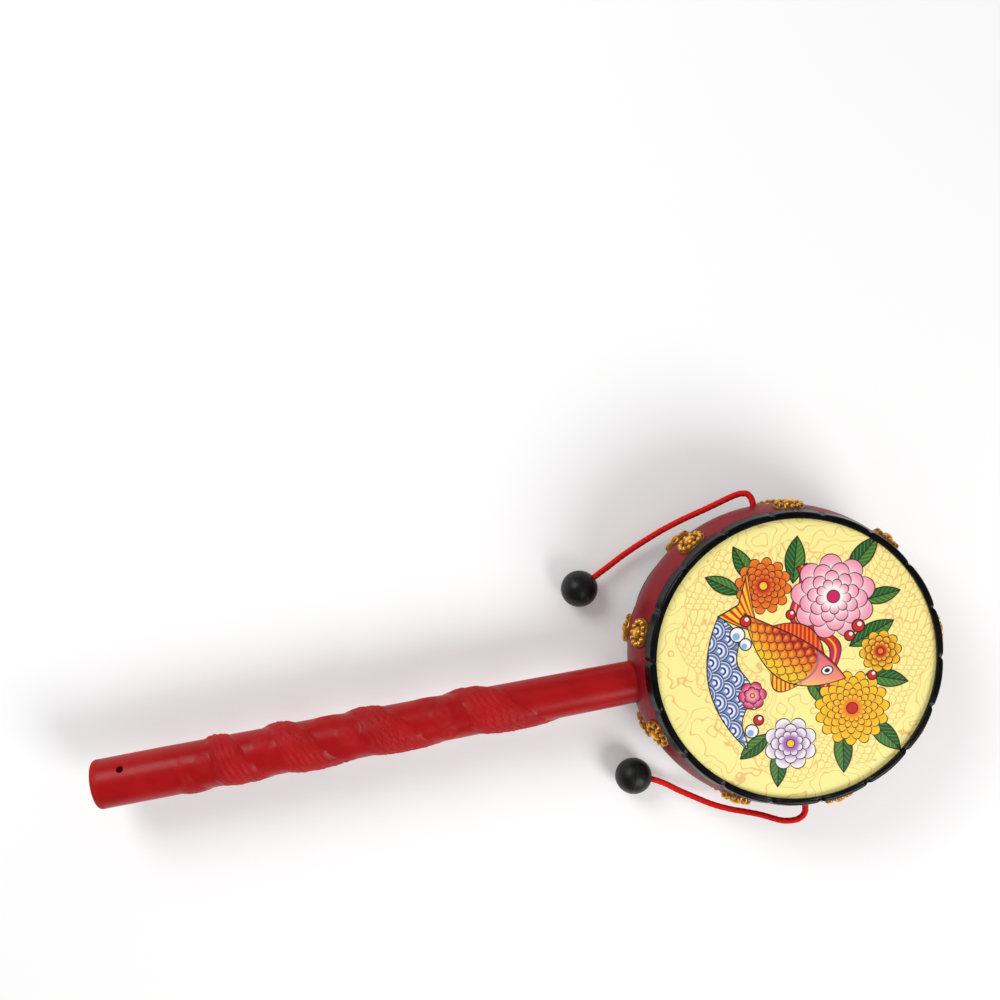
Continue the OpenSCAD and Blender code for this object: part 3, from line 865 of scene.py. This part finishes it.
class RATTLE_OT_handle(bpy.types.Operator):
    """Makes the moulded handle with its scaly coil"""

    bl_idname = "rattle.handle"
    bl_label = "Handle"

    ROUND_STEPS = 144
    FINE = 0.32  # distance between rings along the relief
    FINE_BEFORE = 7  # how far before the coil the fine rings begin
    COIL_RUN = 205  # length of the coil along its turns
    BLUNT = 0.05  # share of the turns over which the blunt end swells
    THIN = 0.2  # share of the turns over which the coil thins out
    TIP = 0.25  # share of the width that is left at both ends
    NARROW = 0.5  # share of the width that is lost on the way to the thin end
    CALM = 0.9  # share of the sway that is lost on the way
    SPINE_WIDTH = 0.55
    SPINE_PITCH = 3.4
    SPINE_HEIGHT = 0.16
    # Loose curls between the turns: place, angle, reach and rise
    CURLS = (
        (82.3, 84, 1.9, 0.95), (91, 20, 2.2, 0.35), (94.5, 72, 2.4, 0.5), (90, -38, 1.8, 0.3),
        (116.5, 12, 2, 0.35), (121, 78, 2.4, 0.55), (118, -70, 2, 0.5), (139, 40, 1.8, 0.4),
        (141, -52, 2, 0.45), (155, 10, 1.6, 0.35), (86, 170, 2.4, 0.6), (113, 150, 2.2, 0.5),
        (136, 200, 2.2, 0.5))

    def execute(self, context):
        size = Millimetres(context.scene.rattle.handle)
        finish = context.scene.rattle.finish
        bm = spun(self.profile(size), self.ROUND_STEPS)
        points = coords(bm)
        along, around = points[:, 2], np.arctan2(points[:, 1], points[:, 0])
        radius = np.hypot(points[:, 0], points[:, 1])
        height, wear_and_highlight = self.relief(along, around, size)
        outer = (along > size.neck_start + 1) & (along < size.end - size.end_edge)
        height = np.where(outer, height, 0)
        points[:, :2] *= (1 + height / np.maximum(radius, 0.1))[:, None]
        move_to(bm, points)
        # Kept for the material, which paints the hollows darker as painted shade and the tops paler as wear
        # with a painted highlight
        mark(bm, "relief", np.where(outer, wear_and_highlight, 0.5))
        lay = Matrix.Translation((0, 0, Millimetres(context.scene.rattle.drum).depth / 2))
        lay = lay @ Matrix.Rotation(-math.pi / 2, 4, "Y")
        bmesh.ops.transform(bm, matrix=lay, verts=bm.verts[:])
        handle = finish_piece(bm, "handle_moulding", self.material(finish), "drum", "handle")
        self.drill(handle, lay, size)
        return {"FINISHED"}

    def profile(self, size):
        body = [(size.neck_radius, size.neck_start)]
        slope = (size.end_radius - size.neck_radius) / (size.plain_start - size.neck_start)
        coarse = np.arange(size.neck_start + 1, size.coil_from - self.FINE_BEFORE, 1.0)
        fine = np.arange(size.coil_from - self.FINE_BEFORE, size.coil_to + 4.5, self.FINE)
        last = np.linspace(size.coil_to + 5, size.end - size.end_edge, 14)
        for t in np.concatenate([coarse, fine, last]):
            body.append((min(size.end_radius, size.neck_radius + slope * (t - size.neck_start)), t))
        edge = arc(
            size.end_radius - size.end_edge, size.end - size.end_edge, size.end_edge, 12, 90, 7)
        return (
            [(0, size.spigot_start), (size.spigot_radius, size.spigot_start),
             (size.spigot_radius, size.neck_start)]
            + body + edge + [(r, size.end) for r in (3.5, 2, 0)])

    def relief(self, along, around, size):
        """Height of the coil over the plain handle, and how high each point stands in the relief's detail,
        from hollow to top; the material paints the tops paler, as wear and a painted highlight, and the
        hollows darker, as painted shade.
        """
        height = np.zeros(len(along))
        detail = np.zeros(len(along))
        span = size.coil_to - size.coil_from
        for k in range(-1, int(size.coil_turns) + 2):
            s = (around - size.coil_turn + 2 * math.pi * k) / (2 * math.pi * size.coil_turns)
            inside = (s > 0) & (s < 1)
            s = np.clip(s, 0, 1)
            run = s * self.COIL_RUN
            swell = np.sin(math.pi / 2 * np.minimum(1, np.minimum(s / self.BLUNT, (1 - s) / self.THIN)))
            centre = (
                size.coil_from + span * s * (1 + size.coil_bunch * (1 - s))
                - size.coil_sway * (1 - self.CALM * s) * np.sin(around))
            ends = self.TIP + (1 - self.TIP) * swell
            lean = 1 - size.coil_lean * np.sin(around)
            half = ends * size.coil_width * (1 - self.NARROW * s) * lean / 2
            ragged = 1 - 0.1 * np.abs(np.sin(run * 0.33)) - 0.08 * np.abs(np.sin(run * 0.83 + 1))
            across = (along - centre) / np.maximum(0.5, half * ragged)
            body = np.clip(1 - np.abs(across) ** 2.8, 0, 1) ** 0.8
            strands = np.sin(across * half * 3.4 + 1.6 * np.sin(run * 0.19) + 0.7 * np.sin(run * 0.47 + 1.3))
            strands = (0.5 + 0.5 * strands) * (0.65 + 0.35 * np.sin(run * 0.9 + across * half * 1.1))
            patches = smooth_step((np.sin(run * 0.11 + 0.4) + 0.15) / 0.5)
            scaly = patches * smooth_step((0.72 - np.abs(across)) / 0.2)
            texture = scaly * self.scales(run, across * half, size) + (1 - scaly) * strands
            knobs = 0.5 + 0.5 * np.abs(np.cos(math.pi * run / self.SPINE_PITCH))
            spine = np.exp(-(((across - 0.15) * half / self.SPINE_WIDTH) ** 2)) * knobs
            strength = swell * inside
            raised = strength * (
                body * size.coil_height * (0.8 + 0.2 * np.sin(run * 0.21)) + body * size.scale_depth * texture
                + self.SPINE_HEIGHT * spine * body)
            detail = np.where(raised > height, strength * body * (0.3 + 0.7 * texture), detail)
            height = np.maximum(height, raised)
        for at, turn, reach, rise in self.CURLS:
            away = np.angle(np.exp(1j * (around - math.radians(turn)))) * size.neck_radius
            far = np.hypot(along - at, away) / reach
            curl = np.exp(-(far**2)) * (0.75 + 0.25 * np.cos(far * 5.5))
            height = np.maximum(height, rise * curl)
            detail = np.maximum(detail, 0.7 * curl)
        return height, detail

    def scales(self, run, across, size):
        """Overlapping round scales, each highest at its free edge."""
        row = np.floor(run / size.scale_length)
        found = np.zeros(len(run))
        free = np.ones(len(run), bool)
        for back in (1, 0):
            y = run / size.scale_length - row + back
            x = across / size.scale_width + 0.5 * ((row - back) % 2)
            x = (x - np.floor(x) - 0.5) * 2
            far = np.sqrt(x**2 + (y / 1.45) ** 2)
            hit = free & (far < 1)
            found[hit] = (0.25 + 0.75 * far**2)[hit]
            free &= ~hit
        return found

    def drill(self, handle, lay, size):
        """Cuts the small hole across the plain end."""
        bm = bmesh.new()
        bmesh.ops.create_cone(
            bm, cap_ends=True, segments=40, radius1=size.hole_radius, radius2=size.hole_radius,
            depth=2.6 * size.end_radius)
        turn = Matrix.Rotation(size.hole_turn, 4, "Z") @ Matrix.Rotation(math.pi / 2, 4, "Y")
        bmesh.ops.transform(
            bm, matrix=PLACE @ lay @ Matrix.Translation((0, 0, size.hole_at)) @ turn, verts=bm.verts[:])
        mesh = bpy.data.meshes.new("hole_cutter")
        bm.to_mesh(mesh)
        bm.free()
        cutter = bpy.data.objects.new("hole_cutter", mesh)
        bpy.context.scene.collection.objects.link(cutter)
        whole = len(handle.data.polygons)
        cut = handle.modifiers.new("hole", "BOOLEAN")
        cut.operation, cut.solver, cut.object = "DIFFERENCE", "EXACT", cutter
        depsgraph = bpy.context.evaluated_depsgraph_get()
        drilled = bpy.data.meshes.new_from_object(handle.evaluated_get(depsgraph), depsgraph=depsgraph)
        handle.modifiers.remove(cut)
        handle.data = drilled
        handle.data.name = "handle_moulding"
        drilled.set_sharp_from_angle(angle=math.radians(50))
        bpy.data.objects.remove(cutter)
        bpy.data.meshes.remove(mesh)
        if len(drilled.polygons) == whole:
            raise RuntimeError("the hole across the handle was not cut")

    def material(self, finish):
        red = Shader("handle_red")
        where = red.place()
        relief = red.attribute("relief")
        mottle = red.noise(where, 0.11, 4.0, 0.6)
        grain = red.noise(where, 1.9, 3.0)
        strokes = red.noise(red.place((0.35, 1.3, 1.3), turn=math.radians(40)), 1.0, 3.0, 0.6)
        dark, light = shade(finish.handle_red, 0.88), shade(finish.handle_red, 1.06)
        tone = red.mix(red.fade(mottle, 0.35, 0.68), dark, light)
        # Painted shade: the hollows of the relief and the plain handle between the coil's turns are darker
        tone = red.mix(red.fade(relief, 0.1, 0.45, 0.3, 0.0), tone, shade(finish.handle_red, 0.72))
        # Painted highlight with rubbed wear: patches on the tops of the relief turn paler red
        wear_and_highlight = red.fade(relief, 0.6, 1.0, 0.0, 0.3) * red.fade(grain, 0.35, 0.65)
        tone = red.mix(wear_and_highlight, tone, finish.worn_red)
        dull = red.fade(relief, 0.02, 0.3, 0.3, 0.5) + red.fade(mottle, 0.3, 0.75, 0.0, 0.08)
        return red.set(
            Base_Color=tone, Roughness=dull, Specular_IOR_Level=0.18,
            Normal=red.bump(grain * 0.3 + strokes * relief, 0.22, 0.7))


class RATTLE_OT_drum(bpy.types.Operator):
    """Dresses the shell and makes both lobed hoops"""

    bl_idname = "rattle.drum"
    bl_label = "Shell and hoops"

    ROUND_STEPS = 720
    SMALL_EDGE = 0.25  # radius of a hoop's lesser edges

    def execute(self, context):
        size = Millimetres(context.scene.rattle.drum)
        finish = context.scene.rattle.finish
        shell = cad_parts["drum_shell"]
        shell.data.materials.clear()
        shell.data.materials.append(self.shell_material(finish))
        black = self.hoop_material(finish)
        for row, sign in ROWS.items():
            bm = self.hoop(size)
            flip = Matrix.Translation((0, 0, size.depth if sign > 0 else 0))
            if sign < 0:
                flip = flip @ Matrix.Rotation(math.pi, 4, "X")
            bmesh.ops.transform(bm, matrix=flip, verts=bm.verts[:])
            finish_piece(bm, f"{row}_lobed_hoop", black, "drum", f"{row}_hoop")
        return {"FINISHED"}

    def hoop(self, size):
        """A ring of an L-shaped section whose outside swells into lobes."""
        out, edge, small = size.hoop_radius, size.hoop_edge, self.SMALL_EDGE
        skirt = size.hoop_skirt - edge
        profile = (
            [(size.hoop_inner + small + 0.15, -0.02)]
            + [(r, 0) for r in np.linspace(size.hoop_inner + 0.6, out - edge - 0.1, 4)]
            + arc(out - edge, -edge, edge, 90, 0, 9)
            + [(out + size.hoop_flare * t, -edge - skirt * t) for t in (0.15, 0.4, 0.65, 0.88)]
            + arc(out + size.hoop_flare - small, -size.hoop_skirt + small, small, -15, -90, 4)
            + [(out - size.hoop_wall, -size.hoop_skirt), (out - size.hoop_wall, -size.hoop_face)]
            + [(size.hoop_inner + small, -size.hoop_face)]
            + arc(size.hoop_inner + small, -size.hoop_face + small, small, 270, 180, 3)
            + arc(size.hoop_inner + small, -small, small, 180, 100, 4))
        bm = spun(profile, self.ROUND_STEPS, closed=True)
        points = coords(bm)
        radius = np.hypot(points[:, 0], points[:, 1])
        step = 2 * math.pi / size.lobes
        around = np.arctan2(points[:, 1], points[:, 0]) / step
        across = np.abs(around - np.round(around)) * 2  # 0 in the middle of a lobe, 1 in a groove
        groove = np.exp(-(((1 - across) * step / 2 * out / (size.groove_width / 1.5)) ** 2))
        sink = size.lobe_crown * across**2 + size.groove_depth * groove
        inside = out - size.hoop_wall
        outer = np.clip((radius - inside - 0.1) / (size.hoop_wall - 0.1), 0, 1)
        top = np.clip((points[:, 2] + size.hoop_face) / size.hoop_face, 0, 1)
        points[:, :2] *= (1 - sink * outer / radius)[:, None]
        points[:, 2] -= sink * 0.75 * top * np.clip((radius - size.hoop_inner) / 0.5, 0.35, 1)
        move_to(bm, points)
        return bm

    def shell_material(self, finish):
        red = Shader("shell_red")
        where = red.place()
        mottle = red.noise(where, 0.09, 4.0, 0.6)
        grain = red.noise(where, 1.6, 3.0)
        dark, light = shade(finish.shell_red, 0.8), shade(finish.shell_red, 1.15)
        tone = red.mix(red.fade(mottle, 0.35, 0.7), dark, light)
        return red.set(
            Base_Color=tone, Roughness=red.fade(mottle, 0.3, 0.7, 0.34, 0.46), Specular_IOR_Level=0.12,
            Normal=red.bump(grain, 0.05, 0.4))

    def hoop_material(self, finish):
        black = Shader("hoop_black")
        where = black.place()
        mottle = black.noise(where, 0.16, 4.0, 0.6)
        grain = black.noise(where, 1.4, 3.0)
        scuffs = black.fade(black.noise(where, 0.7, 6.0, 0.7), 0.6, 0.75)
        tone = black.mix(black.fade(mottle, 0.35, 0.7), finish.hoop_black, shade(finish.hoop_black, 2.2))
        dull = black.fade(mottle, 0.3, 0.7, 0.2, 0.3) + scuffs * 0.1
        return black.set(
            Base_Color=tone, Roughness=dull, Specular_IOR_Level=0.16, Normal=black.bump(grain, 0.04, 0.5))


class RATTLE_OT_studs(bpy.types.Operator):
    """Makes the gold rosette studs of both rows"""

    bl_idname = "rattle.studs"
    bl_label = "Studs"

    ROUND_STEPS = 96
    EDGE_FALL = 0.16  # width of the rounded edge
    PETAL_IN = 0.86  # distance from the edge to the middle of a petal
    PETAL_HALF_WIDTH = 0.7
    PETAL_HALF_LENGTH = 0.8
    PETAL_SINK = 0.1  # how far a petal's foot lies under the top of the plate
    PETAL_RISE = 0.85
    DOME_SINK = 0.12  # how far the dome's foot lies under the top of the plate

    def execute(self, context):
        size = Millimetres(context.scene.rattle.drum)
        gold = self.material(context.scene.rattle.finish)
        tilt = math.asin(size.stud_row / size.shell_arc)
        for row, sign in ROWS.items():
            for i in range(1, size.studs + 1):
                place = (
                    Matrix.Rotation(math.pi + (i - 0.5) * 2 * math.pi / size.studs, 4, "Z")
                    @ Matrix.Translation((size.shell_radius - size.shell_arc, 0, size.depth / 2))
                    @ Matrix.Rotation(-sign * tilt, 4, "Y")
                    @ Matrix.Translation((size.shell_arc - size.stud_sink, 0, 0))
                    @ Matrix.Rotation(math.pi / 2, 4, "Y"))
                bm = self.rosette(size)
                bmesh.ops.transform(bm, matrix=place, verts=bm.verts[:])
                finish_piece(
                    bm, f"{row}_rosette_{i}", gold, "drum", f"{row}_stud_{i}")
        return {"FINISHED"}

    def rosette(self, size):
        """A plate with a ring of petals round a middle dome, on a flat underside."""
        rim = size.stud_radius
        top = [(r, 1) for r in np.linspace(0, rim - self.EDGE_FALL, 26)]
        side = [(rim - 0.05, 0.9), (rim, 0.7), (rim, 0.35), (rim, 0)]
        bm = spun(top + side + [(rim / 2, 0), (0, 0)], self.ROUND_STEPS)
        points = coords(bm)
        radius = np.hypot(points[:, 0], points[:, 1])
        step = 2 * math.pi / size.petals
        around = np.arctan2(points[:, 1], points[:, 0]) / step
        away = (around - np.round(around)) * step
        middle = rim - self.PETAL_IN
        across = radius * np.sin(away) / self.PETAL_HALF_WIDTH
        along = (radius - middle) / self.PETAL_HALF_LENGTH
        petal = np.sqrt(np.clip(1 - across**2 - along**2, 0, 1))
        dome = np.sqrt(np.clip(1 - (radius / size.dome_radius) ** 2, 0, 1))
        petals = size.stud_plate - self.PETAL_SINK + self.PETAL_RISE * petal
        dome_rise = size.stud_top - size.stud_plate + self.DOME_SINK
        shape = np.maximum(petals, size.stud_plate - self.DOME_SINK + dome_rise * dome)
        fall = np.clip((rim - radius) / self.EDGE_FALL, 0, 1)
        height = size.stud_plate * 0.7 + (shape - size.stud_plate * 0.7) * np.sqrt(fall)
        flat = points[:, 2].copy()
        points[:, 2] = np.where(flat > 0.95, height, flat * size.stud_plate * 0.8)
        move_to(bm, points)
        # The crown: how high a point stands on a petal or the dome, which the material turns into painted
        # shade low down and a painted highlight on top
        mark(bm, "crown", np.where(flat > 0.95, np.maximum(petal, dome), 0.4))
        return bm

    def material(self, finish):
        gold = Shader("stud_gold")
        where = gold.place()
        crown = gold.attribute("crown")
        mottle = gold.noise(where, 0.5, 3.0, 0.6)
        grain = gold.noise(where, 2.5, 2.0)
        # Painted shade: the low places of a stud darken to a dark brown
        tone = gold.mix(gold.fade(crown, 0.1, 0.72), finish.gold_shade, finish.gold)
        tone = gold.mix(gold.fade(mottle, 0.45, 0.75, 0.0, 0.35), tone, shade(finish.gold, 0.6))
        # Painted highlight on the crowns of the petals and the dome
        tone = gold.mix(gold.fade(crown, 0.8, 1.0), tone, finish.gold_light)
        return gold.set(
            Base_Color=tone, Metallic=gold.fade(crown, 0.0, 0.5, 0.15, 0.55),
            Roughness=gold.fade(mottle, 0.3, 0.7, 0.18, 0.32), Normal=gold.bump(grain, 0.04, 0.4))


class RATTLE_OT_heads(bpy.types.Operator):
    """Gives both film heads their print"""

    bl_idname = "rattle.heads"
    bl_label = "Heads"

    # Leaves: place to the right and upwards, turn, length and width
    LEAVES = (
        (-25, 4, 165, 6, 2.5), (-23, 21, 130, 6, 2.4), (-3, 20, 110, 6.5, 2.5), (-12, 24, 95, 5, 2),
        (23, 19, 35, 6, 2.4), (25, 8, -8, 6, 2.3), (9, 22, 70, 5.5, 2.2), (26, -9, -12, 5.5, 2.1),
        (20, -14, -60, 5, 2), (-26, -9, 200, 5.5, 2.1), (-22, -15, 235, 5, 2), (8.5, 4, 20, 5, 2))
    # Berries: place to the right and upwards, and radius
    BERRIES = (
        (-5.5, 17, 1.6), (-3.4, 14.4, 1.3), (7.6, 18.4, 1.2), (-12, -11, 1.4), (13.5, -12, 1.3),
        (-11.5, 0.6, 1.2))

    def execute(self, context):
        film = self.material(context.scene.rattle)
        for row in ROWS:
            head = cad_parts[f"{row}_head"]
            head.data.materials.clear()
            head.data.materials.append(film)
        return {"FINISHED"}

    def material(self, settings):
        finish = settings.finish
        film = Shader("head_film")
        where = film.place()
        wrinkle = film.noise(where, 0.06, 2.0)
        tone = film.mix(film.fade(wrinkle, 0.3, 0.7), finish.film, shade(finish.film, 0.97))
        picture = Print(film, Millimetres(settings.drum).depth / 2, tone, finish.ink)
        self.ground(picture, where, finish)
        self.garden(picture, settings.dyes)
        return film.set(
            Base_Color=picture.tone, Roughness=film.fade(wrinkle, 0.3, 0.7, 0.34, 0.42),
            Specular_IOR_Level=0.3, Normal=film.bump(wrinkle, 0.1, 0.3))

    def ground(self, picture, where, finish):
        """A faint line pattern: a winding band of scales between drifting contour lines."""
        film = picture.film
        drift = film.noise(where, 0.05, 2.6, 0.6)
        u, v = picture.turned(-2, 3, 20)
        far = (u * u + v * v).root()
        sway = (v.over_angle(u) * 3).sine() * 3.5 + (drift - 0.5) * 22
        band = abs(far - 24.5 + sway) - 6.5
        swing = (drift - 0.5) * 14
        net = picture.net(u + swing, v - swing, 2.1, 1.5)
        scales = picture.inside(abs(net - 1) - 0.11, 0.08) * picture.inside(band)
        rings = abs((drift * 19).part() - 0.5)
        lines = picture.inside(rings - 0.06, 0.04) * picture.inside(-band)
        lines = lines.most(scales).most(picture.inside(abs(band) - 0.13))
        picture.paint(lines * 0.75, finish.film_line)

    def garden(self, picture, dye):
        """A leaping carp over waves, among flowers, leaves and berries."""
        for right, up, turn, long, wide in self.LEAVES:
            picture.leaf(right, up, turn, long, wide, dye.leaf, dye.leaf_light)
        picture.ribbon(-6, 6, dye)
        picture.waves(2, -19, dye)
        picture.bloom(-14, 12, 10.8, 9, 4, dye.pink, dye.white, dye.magenta, 0.4)
        picture.bloom(15, 12, 9.6, 15, 5, dye.yellow, dye.orange, dye.red, 0.0)
        picture.bloom(-20, -5, 7.2, 12, 4, dye.orange, dye.red, dye.yellow, 0.3)
        picture.bloom(21, -5, 6.8, 8, 3, dye.white, dye.lilac, dye.yellow, 0.7)
        picture.bloom(2, 21.5, 5.4, 10, 3, dye.yellow, dye.red, dye.orange, 0.2)
        picture.bloom(7, -12.5, 3.6, 6, 2, dye.magenta, dye.pink, dye.yellow, 0.1)
        picture.carp(-1, -2, 47, dye)
        for right, up, radius in self.BERRIES:
            picture.disc(right, up, radius, dye.red)
            picture.paint(picture.spot(right - 0.4, up + 0.4, radius * 0.35), dye.white)


class RATTLE_PT_pieces(bpy.types.Panel):
    """Lists what the rattle is dressed with"""

    bl_idname = "RATTLE_PT_pieces"
    bl_label = "Pellet drum rattle"
    bl_space_type = "VIEW_3D"
    bl_region_type = "UI"
    bl_category = "Rattle"

    def draw(self, context):
        for operator in OPERATORS:
            self.layout.operator(operator.bl_idname)


OPERATORS = (
    RATTLE_OT_stage, RATTLE_OT_cords, RATTLE_OT_handle, RATTLE_OT_drum, RATTLE_OT_studs, RATTLE_OT_heads)
SETTINGS = (DrumSizes, HandleSizes, CordSizes, Finishes, PrintDyes, StageLook, RattleSettings)
CLASSES = (*SETTINGS, *OPERATORS, RATTLE_PT_pieces)


def register():
    for cls in CLASSES:
        bpy.utils.register_class(cls)
    bpy.types.Scene.rattle = PointerProperty(type=RattleSettings)


def unregister():
    del bpy.types.Scene.rattle
    for cls in reversed(CLASSES):
        bpy.utils.unregister_class(cls)


def main():
    register()
    bpy.ops.rattle.stage()
    bpy.ops.rattle.cords()
    bpy.ops.rattle.handle()
    bpy.ops.rattle.drum()
    bpy.ops.rattle.studs()
    bpy.ops.rattle.heads()
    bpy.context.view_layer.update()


if __name__ == "__main__":
    main()
